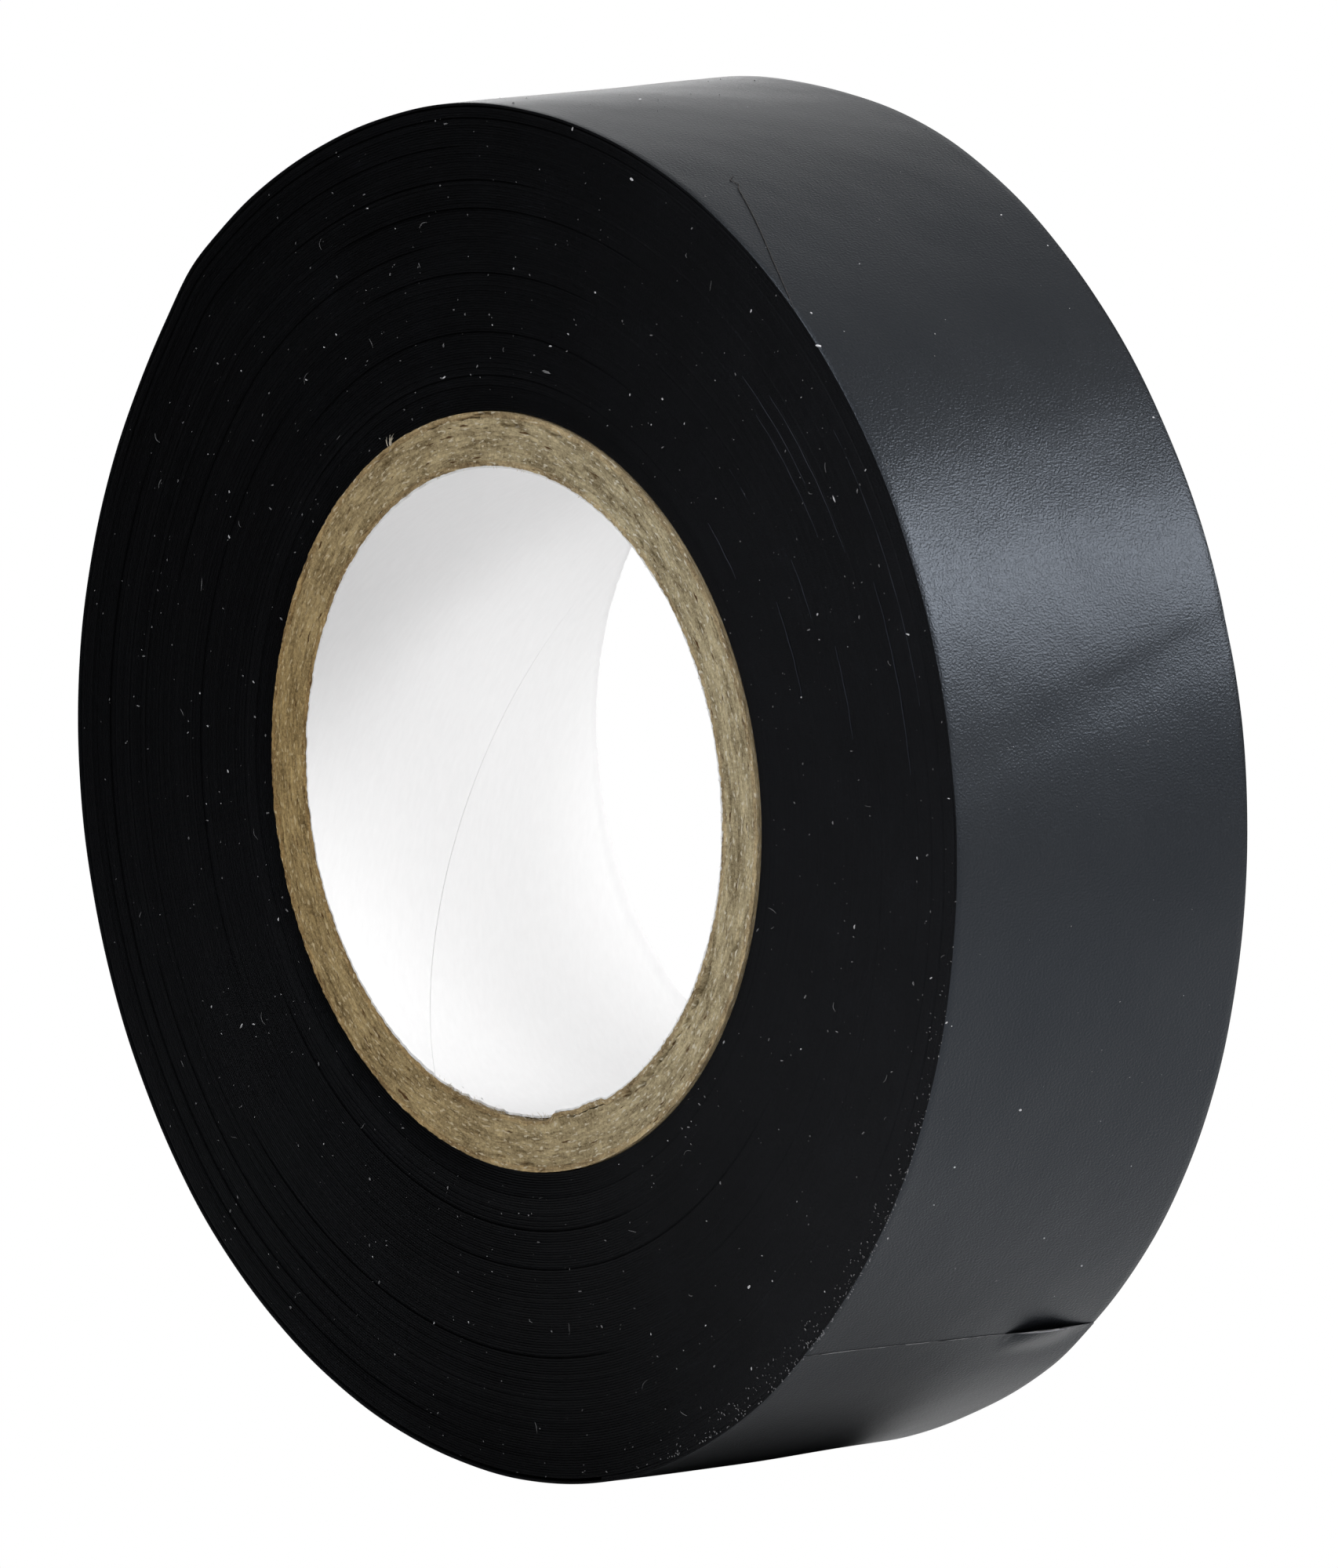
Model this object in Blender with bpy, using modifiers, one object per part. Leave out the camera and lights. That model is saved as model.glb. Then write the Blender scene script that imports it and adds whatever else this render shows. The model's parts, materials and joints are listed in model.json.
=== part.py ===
"""Roll of black PVC electrical tape on a paperboard core, standing on its rim.

The roll's axis is Y, its front face looks along -Y, and it rests on Z = 0.
Angles are in degrees in the XZ plane, from +X towards +Z. The tape is wound so
that its free end lies low on the right. That end is divided into short lengths,
each turning on a hinge line on the outside of the roll, so that it peels off.
"""
import math

import bmesh
import bpy
from mathutils import Vector

MM = 0.001

# Tape: a 19 mm by 20 m roll.
ROLL_RADIUS = 35.0
TAPE_WIDTH = 19.0
FILM_THICKNESS = 0.11
ADHESIVE_THICKNESS = 0.02
FILM_GAP = 0.01            # film to its own adhesive
SEAT_GAP = 0.03            # adhesive of the free end to the turn under it
LAYER_PITCH = FILM_THICKNESS + FILM_GAP + ADHESIVE_THICKNESS + SEAT_GAP

# Core, from the bore outwards.
BORE_RADIUS = 16.47
PLY_GAP = 0.02
LINER_THICKNESS = 0.12
INNER_PLY_THICKNESS = 0.26
BOARD_PLIES = 4
BOARD_PLY_THICKNESS = 0.52
OUTER_PLY_THICKNESS = 0.29
TAPE_BORE_GAP = 0.04       # outer ply to the first turn

# Facets: every round piece is cut on the same grid of angles.
FACET = 2.5
SEGMENTS = round(360 / FACET)

# Free end of the tape.
END_ANGLE = -48.75         # where the tape is cut
END_PIECES = 6
END_PIECE_ANGLE = 2 * FACET
END_PIECE_GAP = 0.02       # between neighbouring lengths
PEEL_ANGLE = END_ANGLE - END_PIECES * END_PIECE_ANGLE

# The rim's own weight presses a narrow flat where it stands.
FLAT_HALF_ANGLE = 6.25
AXIS_HEIGHT = 34.76

COLLECTION = "electrical_tape_roll"

MATERIALS = {
    "pvc_film": dict(color=(0.022, 0.023, 0.026), roughness=0.42),
    "adhesive": dict(color=(0.010, 0.010, 0.011), roughness=0.60),
    "liner_paper": dict(color=(0.78, 0.78, 0.77), roughness=0.85),
    "kraft_ply": dict(color=(0.30, 0.23, 0.17), roughness=0.90),
    "grey_board": dict(color=(0.33, 0.29, 0.25), roughness=0.92),
}


def clear_scene():
    for obj in list(bpy.data.objects):
        bpy.data.objects.remove(obj, do_unlink=True)


def make_materials():
    made = {}
    for name, look in MATERIALS.items():
        material = bpy.data.materials.new(name)
        material.use_nodes = True
        shader = material.node_tree.nodes["Principled BSDF"]
        shader.inputs["Base Color"].default_value = (*look["color"], 1.0)
        shader.inputs["Roughness"].default_value = look["roughness"]
        shader.inputs["Metallic"].default_value = 0.0
        made[name] = material
    return made


def point(radius, angle):
    """A place in the XZ plane, in mm from the roll's axis."""
    turn = math.radians(angle)
    return Vector((radius * math.cos(turn), 0.0, radius * math.sin(turn)))


def outer_radius(angle, layers_down=0):
    """Radius of the tape's outer surface, wound clockwise and inwards from the cut end."""
    travelled = (END_ANGLE - angle) % 360.0
    radius = ROLL_RADIUS - LAYER_PITCH * (travelled / 360.0 + layers_down)
    below = angle + 90.0
    if abs(below) <= FLAT_HALF_ANGLE + 0.01:
        radius = min(radius, AXIS_HEIGHT / math.cos(math.radians(below)))
    return radius


def finish(name, mesh, material, collection, origin=Vector()):
    """Make the object, with its origin at a point given in mm from the roll's axis."""
    centre = Vector((0.0, 0.0, AXIS_HEIGHT))
    for vertex in mesh.verts:
        vertex.co = (vertex.co - origin) * MM
    bmesh.ops.recalc_face_normals(mesh, faces=mesh.faces)
    data = bpy.data.meshes.new(name)
    mesh.to_mesh(data)
    mesh.free()
    data.materials.append(material)
    data.shade_smooth()
    data.set_sharp_from_angle(angle=math.radians(30))
    obj = bpy.data.objects.new(name, data)
    obj.location = (centre + origin) * MM
    collection.objects.link(obj)
    return obj


def extrude_across(mesh, faces):
    """Give flat faces at y = -width/2 the tape's full width."""
    grown = bmesh.ops.extrude_face_region(mesh, geom=faces)
    moved = [item for item in grown["geom"] if isinstance(item, bmesh.types.BMVert)]
    bmesh.ops.translate(mesh, verts=moved, vec=(0.0, TAPE_WIDTH, 0.0))


def make_ring(name, inner, outer, material, collection):
    """A plain ring: a rectangle turned about the roll's axis with a Screw modifier."""
    half = TAPE_WIDTH / 2
    corners = [(inner, -half), (inner, half), (outer, half), (outer, -half)]
    data = bpy.data.meshes.new(name)
    data.from_pydata([(x * MM, y * MM, 0.0) for x, y in corners],
                     [(0, 1), (1, 2), (2, 3), (3, 0)], [])
    data.materials.append(material)
    obj = bpy.data.objects.new(name, data)
    obj.location = (0.0, 0.0, AXIS_HEIGHT * MM)
    collection.objects.link(obj)
    screw = obj.modifiers.new("turn", "SCREW")
    screw.axis = "Y"
    screw.angle = math.radians(360)
    screw.steps = screw.render_steps = SEGMENTS
    screw.use_merge_vertices = True
    screw.merge_threshold = 1e-6
    screw.use_smooth_shade = True
    return obj


def make_core(materials, collection):
    plies = [("core_liner", LINER_THICKNESS, "liner_paper"),
             ("core_inner_ply", INNER_PLY_THICKNESS, "kraft_ply")]
    plies += [(f"core_board_ply_{n}", BOARD_PLY_THICKNESS, "grey_board")
              for n in range(1, BOARD_PLIES + 1)]
    plies.append(("core_outer_ply", OUTER_PLY_THICKNESS, "kraft_ply"))
    inner = BORE_RADIUS
    for name, thickness, slot in plies:
        make_ring(name, inner, inner + thickness, materials[slot], collection)
        inner += thickness + PLY_GAP
    return inner - PLY_GAP


def make_wound_tape(bore, materials, collection):
    """All the turns up to the peel line, with the step where the free end lies."""
    mesh = bmesh.new()
    y = -TAPE_WIDTH / 2
    peel = PEEL_ANGLE
    outline = []
    for step in range(SEGMENTS):
        angle = END_ANGLE - step * FACET
        covered = angle > peel + 0.01
        outline.append(point(outer_radius(angle, 1 if covered else 0), angle))
        if abs(angle - peel) < 0.01:
            foot = point(outer_radius(angle, 1), angle)
            outline.insert(-1, foot)
    outer = [mesh.verts.new((p.x, y, p.z)) for p in outline]
    inner = []
    for step in range(SEGMENTS):
        p = point(bore, END_ANGLE - step * FACET)
        inner.append(mesh.verts.new((p.x, y, p.z)))
    edges = []
    for loop in (outer, inner):
        edges += [mesh.edges.new((loop[i - 1], loop[i])) for i in range(len(loop))]
    face = bmesh.ops.triangle_fill(mesh, edges=edges, use_beauty=True,
                                   normal=(0.0, -1.0, 0.0))
    extrude_across(mesh, [item for item in face["geom"]
                          if isinstance(item, bmesh.types.BMFace)])
    return finish("wound_tape", mesh, materials["pvc_film"], collection)


def make_end_layer(name, first_angle, top, thickness, material, collection, origin):
    """One layer of one length of the free end, top mm below the outside."""
    mesh = bmesh.new()
    clear = math.degrees(END_PIECE_GAP / ROLL_RADIUS)
    angles = [first_angle + clear, first_angle + FACET, first_angle + END_PIECE_ANGLE]
    outside = [point(outer_radius(a) - top, a) for a in angles]
    inside = [point(outer_radius(a) - top - thickness, a) for a in reversed(angles)]
    verts = [mesh.verts.new((p.x, -TAPE_WIDTH / 2, p.z)) for p in outside + inside]
    extrude_across(mesh, [mesh.faces.new(verts)])
    return finish(name, mesh, material, collection, origin)


def make_free_end(materials, collection):
    adhesive_top = FILM_THICKNESS + FILM_GAP
    carrier = None
    for n in range(1, END_PIECES + 1):
        first = PEEL_ANGLE + (n - 1) * END_PIECE_ANGLE
        hinge = point(outer_radius(first), first)
        film = make_end_layer(f"tape_end_film_{n}", first, 0.0, FILM_THICKNESS,
                              materials["pvc_film"], collection, hinge)
        glue = make_end_layer(f"tape_end_adhesive_{n}", first, adhesive_top,
                              ADHESIVE_THICKNESS, materials["adhesive"], collection, hinge)
        attach(glue, film)
        if carrier:
            attach(film, carrier)
        carrier = film


def attach(child, parent):
    """Parent one object to another and leave it where it is."""
    bpy.context.view_layer.update()
    child.parent = parent
    child.matrix_parent_inverse = parent.matrix_world.inverted()


def main():
    clear_scene()
    collection = bpy.data.collections.new(COLLECTION)
    bpy.context.scene.collection.children.link(collection)
    materials = make_materials()
    core_radius = make_core(materials, collection)
    make_wound_tape(core_radius + TAPE_BORE_GAP, materials, collection)
    make_free_end(materials, collection)
    bpy.context.view_layer.update()


main()
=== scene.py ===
"""Looks for the roll of electrical tape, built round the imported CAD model.

Places on the roll are given in mm and degrees: angles run in the XZ plane from +X
towards +Z, radii from the roll's axis, and y along the axis with the front at -Y.
"Along" a strip of tape means the way it is wound, clockwise and inwards from its
cut end.
"""
import json
import math

import bpy
import numpy as np
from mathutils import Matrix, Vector


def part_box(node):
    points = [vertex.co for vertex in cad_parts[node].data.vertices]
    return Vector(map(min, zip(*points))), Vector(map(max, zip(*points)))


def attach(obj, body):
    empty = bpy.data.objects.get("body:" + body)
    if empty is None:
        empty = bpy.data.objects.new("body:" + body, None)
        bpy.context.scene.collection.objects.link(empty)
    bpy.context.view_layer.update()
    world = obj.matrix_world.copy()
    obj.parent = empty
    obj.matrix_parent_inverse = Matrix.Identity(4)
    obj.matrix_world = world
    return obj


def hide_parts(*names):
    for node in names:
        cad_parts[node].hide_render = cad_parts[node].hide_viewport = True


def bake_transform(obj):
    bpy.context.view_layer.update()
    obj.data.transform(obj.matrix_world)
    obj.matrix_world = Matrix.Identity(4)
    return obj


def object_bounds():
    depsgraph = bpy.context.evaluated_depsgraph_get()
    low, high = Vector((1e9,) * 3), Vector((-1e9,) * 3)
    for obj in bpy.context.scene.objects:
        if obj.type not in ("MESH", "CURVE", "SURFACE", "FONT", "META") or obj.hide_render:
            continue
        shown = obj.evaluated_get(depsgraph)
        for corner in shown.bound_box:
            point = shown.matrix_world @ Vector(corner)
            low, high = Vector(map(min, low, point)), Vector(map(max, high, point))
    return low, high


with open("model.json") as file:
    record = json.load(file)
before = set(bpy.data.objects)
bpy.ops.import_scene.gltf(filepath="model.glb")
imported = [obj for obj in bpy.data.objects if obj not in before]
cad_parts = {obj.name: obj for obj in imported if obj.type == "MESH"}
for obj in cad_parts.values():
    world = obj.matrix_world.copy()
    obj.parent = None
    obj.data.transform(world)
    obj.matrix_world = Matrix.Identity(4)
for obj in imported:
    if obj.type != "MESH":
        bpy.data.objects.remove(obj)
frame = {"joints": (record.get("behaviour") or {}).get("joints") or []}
cad_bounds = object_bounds()

MM = 0.001
WHITE = (1.0, 1.0, 1.0, 1.0)

# -------------------- sizes

LINER_THICKNESS = 0.12

low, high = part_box("core_liner")
AXIS = (low + high) / 2
BORE = (high.x - AXIS.x) / MM - LINER_THICKNESS
low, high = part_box("wound_tape")
HALF_WIDTH = (high.y - low.y) / 2 / MM
low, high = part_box("core_outer_ply")
CORE_RADIUS = (high.x - low.x) / 2 / MM
AXIS_HEIGHT = AXIS.z / MM

HINGES = [Vector(joint["pos_m"]) for joint in frame["joints"]]
LENGTHS = len(HINGES)


def angle_of(place):
    return math.degrees(math.atan2(place.z - AXIS.z, place.x - AXIS.x))


PEEL_ANGLE = angle_of(HINGES[0])
STEP_ANGLE = angle_of(HINGES[1]) - PEEL_ANGLE
END_ANGLE = PEEL_ANGLE + LENGTHS * STEP_ANGLE
PEEL_TRAVEL = END_ANGLE - PEEL_ANGLE

TAPE_THICKNESS = 0.13
ADHESIVE_THICKNESS = 0.02
LAYER_PITCH = 0.14  # from one turn's surface to the next, near the outside
OUTER_RADIUS = (HINGES[0] - AXIS).length / MM + LAYER_PITCH * PEEL_TRAVEL / 360

FLOOR_DROP = 0.40  # how far below the CAD's flat the rim is flattened
RIM_EXCESS = 0.06  # how much lower its lowest place is, where the floor lies


# -------------------- small helpers

def wrap_angle(angle):
    """The same angle between -180 and 180."""
    return (np.asarray(angle, float) + 180.0) % 360.0 - 180.0


def hill(x, centre, half_width):
    """A smooth hump, 1 at its centre, about 0.6 at half_width away."""
    return np.exp(-0.5 * ((x - centre) / half_width) ** 2)


def ease(x, start, end):
    """0 before start, 1 after end, smooth between."""
    t = np.clip((x - start) / (end - start), 0.0, 1.0)
    return t * t * (3 - 2 * t)


def periodic_noise(count, waves, seed, falloff=1.0):
    """A smooth random curve that closes on itself, about -1 to 1."""
    random = np.random.default_rng(seed)
    turn = np.linspace(0, 2 * math.pi, count, endpoint=False)
    total = np.zeros(count)
    for k in range(1, waves + 1):
        total += np.sin(k * turn + random.uniform(0, 2 * math.pi)) * random.normal() / k ** falloff
    return total / max(1e-9, np.abs(total).max())


def place(radius, angle, y):
    """World positions in metres for radii and y in mm and angles in degrees."""
    turn = np.radians(angle)
    radius, turn, y = np.broadcast_arrays(radius, turn, y)
    return np.stack([AXIS.x + radius * MM * np.cos(turn),
                     AXIS.y + y * MM,
                     AXIS.z + radius * MM * np.sin(turn)], axis=-1)


def add_object(name, data):
    obj = bpy.data.objects.new(name, data)
    bpy.context.scene.collection.objects.link(obj)
    return obj


def new_object(name, points, faces, material, uv=None, sharp=35.0):
    """A mesh object. uv is one pair per corner, in the order of the faces."""
    mesh = bpy.data.meshes.new(name)
    mesh.from_pydata(points.reshape(-1, 3).tolist(), [], faces)
    if uv is not None:
        layer = mesh.uv_layers.new(name="strip")
        layer.data.foreach_set("uv", np.asarray(uv, np.float32).ravel())
    mesh.materials.append(material)
    mesh.shade_smooth()
    mesh.set_sharp_from_angle(angle=math.radians(sharp))
    mesh.validate()
    return add_object(name, mesh)


def pairs(along, across):
    """The uv of every place on a strip, from the distances along and across it."""
    return np.stack(np.meshgrid(along, across, indexing="ij"), axis=-1)


def swept_solid(name, rows, material, uv, closed_along, sharp=35.0):
    """A closed solid from rows of points; each row is a closed loop round the section.

    rows has shape (along, round, 3) and uv (along + 1, round + 1, 2).
    """
    along, around, _ = rows.shape
    index = np.arange(along * around).reshape(along, around)
    here = index if closed_along else index[:-1]
    there = np.roll(index, -1, axis=0) if closed_along else index[1:]
    quads = np.stack([here, np.roll(here, -1, axis=1), np.roll(there, -1, axis=1), there],
                     axis=-1).reshape(-1, 4)
    steps = here.shape[0]
    corner = np.stack([uv[:steps, :-1], uv[:steps, 1:], uv[1:steps + 1, 1:], uv[1:steps + 1, :-1]],
                      axis=2).reshape(-1, 2)
    faces = quads.tolist()
    if not closed_along:
        faces.append(index[0][::-1].tolist())
        faces.append(index[-1].tolist())
        corner = np.vstack([corner, uv[0, :-1][::-1], uv[-1, :-1]])
    return new_object(name, rows, faces, material, corner, sharp)


# -------------------- materials

def shader_for(name, colour, roughness, specular=0.5):
    material = bpy.data.materials.new(name)
    material.use_nodes = True
    shader = material.node_tree.nodes["Principled BSDF"]
    shader.inputs["Base Color"].default_value = (*colour, 1.0)
    shader.inputs["Roughness"].default_value = roughness
    shader.inputs["Specular IOR Level"].default_value = specular
    return material, material.node_tree, shader


def add(tree, kind, **inputs):
    """A node with its inputs set by name: plain values, or another node's socket."""
    node = tree.nodes.new(kind)
    for key, value in inputs.items():
        target = node.inputs[key.replace("_", " ")]
        if isinstance(value, bpy.types.NodeSocket):
            tree.links.new(value, target)
        else:
            target.default_value = value
    return node


def strip_coordinates(tree, along=1.0, across=1.0):
    """The strip's own coordinates in mm, stretched by the two factors."""
    source = tree.nodes.new("ShaderNodeUVMap")
    source.uv_map = "strip"
    return add(tree, "ShaderNodeMapping", Vector=source.outputs["UV"],
               Scale=(along, across, 1.0)).outputs["Vector"]


def share_along(tree, vector, axis, start, end):
    """How far along an axis a place lies: 0 at start, 1 at end."""
    value = add(tree, "ShaderNodeSeparateXYZ", Vector=vector).outputs[axis]
    return add(tree, "ShaderNodeMapRange", Value=value, From_Min=start, From_Max=end).outputs["Result"]


def noise(tree, vector, scale, detail=2.0, roughness=0.5, distortion=0.0):
    return add(tree, "ShaderNodeTexNoise", Vector=vector, Scale=scale, Detail=detail,
               Roughness=roughness, Distortion=distortion).outputs["Fac"]


def ramp(tree, factor, stops):
    """A colour ramp; stops are (position, grey or colour)."""
    node = tree.nodes.new("ShaderNodeValToRGB")
    tree.links.new(factor, node.inputs["Fac"])
    elements = node.color_ramp.elements
    while len(elements) < len(stops):
        elements.new(0.5)
    for element, (position, colour) in zip(elements, stops):
        element.position = position
        element.color = (*colour, 1.0) if isinstance(colour, tuple) else (colour,) * 3 + (1.0,)
    return node.outputs["Color"]


def contrast(tree, factor, low_end, high_end):
    """0 up to one value, 1 from another."""
    return ramp(tree, factor, [(low_end, 0.0), (high_end, 1.0)])


def mix(tree, factor, first, second):
    """Blends two colours; the factor and the colours are values or sockets."""
    node = tree.nodes.new("ShaderNodeMix")
    node.data_type = "RGBA"
    for number, value in ((0, factor), (6, first), (7, second)):
        socket = node.inputs[number]
        if isinstance(value, bpy.types.NodeSocket):
            tree.links.new(value, socket)
        elif isinstance(value, tuple):
            socket.default_value = (*value, 1.0)
        else:
            socket.default_value = value
    return node.outputs[2]


def paint(tree, shader, colour):
    tree.links.new(colour, shader.inputs["Base Color"])


def multiply(tree, first, second):
    product = mix(tree, 1.0, first, second)
    product.node.blend_type = "MULTIPLY"
    return product


def bump(tree, shader, height, distance_mm, strength=1.0, after=None):
    """Relief this deep for a height from 0 to 1, on top of any relief given as after."""
    node = add(tree, "ShaderNodeBump", Height=height, Distance=distance_mm * MM, Strength=strength)
    if after is not None:
        tree.links.new(after, node.inputs["Normal"])
    tree.links.new(node.outputs["Normal"], shader.inputs["Normal"])
    return node.outputs["Normal"]


def make_film():
    """Calendered PVC: satin black with a fine orange peel and broad soft dents."""
    material, tree, shader = shader_for("pvc_film", (0.009, 0.010, 0.0115), 0.28, 0.36)
    flat = strip_coordinates(tree)
    peel = noise(tree, strip_coordinates(tree, 1.0, 0.85), 8.2, 1.5, 0.5, 0.2)
    dents = noise(tree, strip_coordinates(tree, 0.8, 1.0), 0.17, 3.0, 0.5)
    broad = contrast(tree, noise(tree, flat, 0.10, 3.0, 0.5), 0.3, 0.7)
    speckle = contrast(tree, noise(tree, flat, 9.0, 2.0, 0.7), 0.3, 0.7)
    tone = mix(tree, 0.5, broad, speckle)
    paint(tree, shader, ramp(tree, tone, [(0.1, (0.0045, 0.0052, 0.0064)),
                                          (0.9, (0.0110, 0.0116, 0.0125))]))
    shader.inputs["Specular Tint"].default_value = (0.72, 0.83, 1.0, 1.0)
    across = share_along(tree, flat, "Y", 0.0, 2 * HALF_WIDTH)
    dull = mix(tree, 0.35, contrast(tree, across, 0.0, 0.6), broad)
    tree.links.new(ramp(tree, dull, [(0.0, 0.285), (1.0, 0.325)]), shader.inputs["Roughness"])
    first = bump(tree, shader, dents, 0.14, 0.6)
    bump(tree, shader, peel, 0.025, 1.0, first)
    return material


def make_turn_edges():
    """The slit edges of the turns: nearly black and felt-like, shining as grooves do, in a wedge either side
    of the core.
    Their colour carries painted light and shade: darker towards the left of the roll, lighter towards the
    right."""
    material, tree, shader = shader_for("tape_edges", (0.003, 0.0032, 0.0038), 0.42, 0.16)
    flat = strip_coordinates(tree)
    lines = noise(tree, strip_coordinates(tree, 0.05, 1.0), 8.0, 3.0, 0.7)
    felt = noise(tree, flat, 6.5, 4.0, 0.8)
    patches = noise(tree, flat, 0.22, 4.0, 0.6)
    tone = mix(tree, 0.6, contrast(tree, lines, 0.4, 0.75), contrast(tree, felt, 0.42, 0.72))
    tone = mix(tree, 0.3, tone, contrast(tree, patches, 0.35, 0.7))
    where = tree.nodes.new("ShaderNodeTexCoord").outputs["Object"]
    side = share_along(tree, where, "X", -0.035, 0.035)
    # Painted light and shade: the colour is darkest at the left of the roll and lightest at the right.
    painted_side_light = ramp(tree, side, [(0.12, 0.25), (0.32, 1.5), (0.6, 1.2), (1.0, 1.9)])
    dark = ramp(tree, tone, [(0.15, (0.0003, 0.0003, 0.0004)), (0.6, (0.0016, 0.0017, 0.0021)),
                             (0.95, (0.0125, 0.0145, 0.0215))])
    paint(tree, shader, multiply(tree, dark, painted_side_light))
    shader.inputs["Specular Tint"].default_value = (0.85, 0.89, 1.0, 1.0)
    tangent = tree.nodes.new("ShaderNodeTangent")
    tangent.direction_type = "UV_MAP"
    tangent.uv_map = "strip"
    tree.links.new(tangent.outputs["Tangent"], shader.inputs["Tangent"])
    shader.inputs["Anisotropic"].default_value = 0.75
    shader.inputs["Anisotropic Rotation"].default_value = 0.25
    first = bump(tree, shader, lines, 0.015, 0.6)
    bump(tree, shader, felt, 0.05, 1.0, first)
    return material


def make_cut_edge():
    """The end face of the film, painted pale and bluish as a highlight, for the light its thin cut edge
    catches.
    """
    material, tree, shader = shader_for("tape_cut_edge_glint", (0.16, 0.16, 0.165), 0.4)
    speckle = noise(tree, strip_coordinates(tree), 2.5, 3.0, 0.7)
    # Painted highlight: pale bluish speckle standing in for light caught by the cut edge.
    paint(tree, shader, ramp(tree, speckle, [(0.35, (0.10, 0.10, 0.108)), (0.65, (0.42, 0.42, 0.455))]))
    return material


def make_adhesive():
    material, tree, shader = shader_for("adhesive", (0.012, 0.012, 0.013), 0.3)
    bump(tree, shader, noise(tree, strip_coordinates(tree), 1.6, 3.0, 0.6), 0.03, 0.5)
    return material


def make_paper():
    """White lining paper with a faint grain."""
    material, tree, shader = shader_for("liner_paper", (0.82, 0.815, 0.82), 0.9, 0.25)
    fibre = noise(tree, strip_coordinates(tree), 1.8, 5.0, 0.65)
    paint(tree, shader, ramp(tree, fibre, [(0.3, (0.870, 0.866, 0.868)), (0.7, (0.900, 0.896, 0.898))]))
    bump(tree, shader, fibre, 0.012, 0.3)
    return material


def make_board(name, dark, light):
    """Cut edge of tube board: mixed grey fibres, with dark and pale specks."""
    material, tree, shader = shader_for(name, light, 0.95, 0.2)
    flat = strip_coordinates(tree)
    grain = noise(tree, flat, 5.5, 4.0, 0.8)
    fibre = noise(tree, strip_coordinates(tree, 0.16, 1.0), 4.5, 4.0, 0.75, 0.8)
    cloud = noise(tree, strip_coordinates(tree, 0.25, 1.0), 1.1, 4.0, 0.65)
    tone = mix(tree, 0.5, contrast(tree, grain, 0.34, 0.66), contrast(tree, fibre, 0.34, 0.66))
    tone = mix(tree, 0.3, tone, contrast(tree, cloud, 0.36, 0.64))
    colour = ramp(tree, tone, [(0.15, dark), (0.85, light)])
    pale = noise(tree, strip_coordinates(tree, 0.4, 1.2), 5.5, 1.0, 0.4)
    colour = mix(tree, contrast(tree, pale, 0.62, 0.68), colour, (0.70, 0.65, 0.52))
    brown = noise(tree, strip_coordinates(tree, 0.22, 1.3), 3.6, 2.0, 0.5)
    colour = mix(tree, ramp(tree, brown, [(0.28, 1.0), (0.36, 0.0)]), colour, (0.105, 0.056, 0.022))
    # Painted shade: darker and browner towards the left of the roll, away from the light from the upper
    # right.
    painted_left_shade = ramp(tree, share_along(tree, flat, "X", -58.0, 58.0),
                 [(0.0, 0.95), (0.18, 0.7), (0.34, 0.15), (0.68, 0.0), (0.82, 0.4), (1.0, 0.95)])
    paint(tree, shader, multiply(tree, colour, mix(tree, painted_left_shade, WHITE[:3], (0.80, 0.665, 0.45))))
    first = bump(tree, shader, fibre, 0.05, 0.9)
    bump(tree, shader, grain, 0.06, 0.9, first)
    return material


film_look = make_film()
edge_look = make_turn_edges()
cut_edge_glint_look = make_cut_edge()
adhesive_look = make_adhesive()
paper_look = make_paper()
dust_looks = [shader_for(f"dust_{n + 1}", (grey, grey, grey * 1.04), 0.9, 0.2)[0]
              for n, grey in enumerate((0.17, 0.55))]
hair_look = shader_for("hair", (0.035, 0.030, 0.028), 0.35)[0]
# Lighter and bluer than the edges: a painted glint on the raised burrs.
burr_glint_look = shader_for("slit_burr", (0.020, 0.024, 0.036), 0.4, 0.3)[0]
fibre_look = shader_for("paper_fibre", (0.62, 0.57, 0.47), 0.95, 0.1)[0]
board_look = make_board("grey_board", (0.130, 0.094, 0.045), (0.72, 0.62, 0.40))
kraft_look = make_board("kraft_ply", (0.125, 0.082, 0.040), (0.68, 0.55, 0.33))

# -------------------- the wound tape's shape

# The roll is not quite round: (angle, half width, height in mm, y of the middle, half width in y).
RIM_SHAPE = [
    (131.5, 8.5, 0.24, -9.0, 12.0), (137.0, 3.0, 0.2, -9.0, 12.0), (152.0, 7.0, -0.12, -9.0, 12.0),
    (162.5, 5.0, -0.06, -9.0, 12.0), (97.0, 6.0, 0.1, -9.0, 5.0), (87.0, 7.0, -0.3, 9.0, 6.0),
    (-175.0, 24.0, 0.08, -9.0, 8.0), (-134.0, 7.0, 0.15, -9.0, 8.0), (-112.0, 9.0, 0.08, -9.0, 8.0),
    (-80.0, 13.0, 0.27, -5.0, 9.0), (-44.0, 13.0, -0.14, -9.0, 6.0), (-30.0, 16.0, 0.24, 9.0, 7.0),
    (-68.0, 6.0, -0.2, 9.0, 5.0), (14.0, 13.0, 0.12, 9.0, 6.0),
]

# Shallow valleys pressed into the outer turns: the angle where each crosses y = 0,
# degrees it climbs per mm of y, half width in degrees, depth in mm, and the middle and
# half width of its span in y.
VALLEYS = [
    (12.2, 0.5, 1.7, 0.08, 1.5, 8.0), (13.4, 0.5, 0.5, 0.016, 5.5, 4.0), (-3.5, 0.3, 3.0, 0.03, 0.0, 8.0),
    (31.5, 0.35, 2.6, 0.05, 3.0, 7.0), (57.0, -0.35, 3.5, 0.05, 1.0, 8.0),
    (72.0, 0.45, 3.0, 0.04, 4.0, 5.0),
]


def out_of_round(angle, y):
    """How far the rim stands off a true circle, in mm."""
    total = 0.0
    for centre, width, height, middle, spread in RIM_SHAPE:
        total = total + height * hill(wrap_angle(angle - centre), 0.0, width) * hill(y, middle, spread)
    return total


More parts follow.
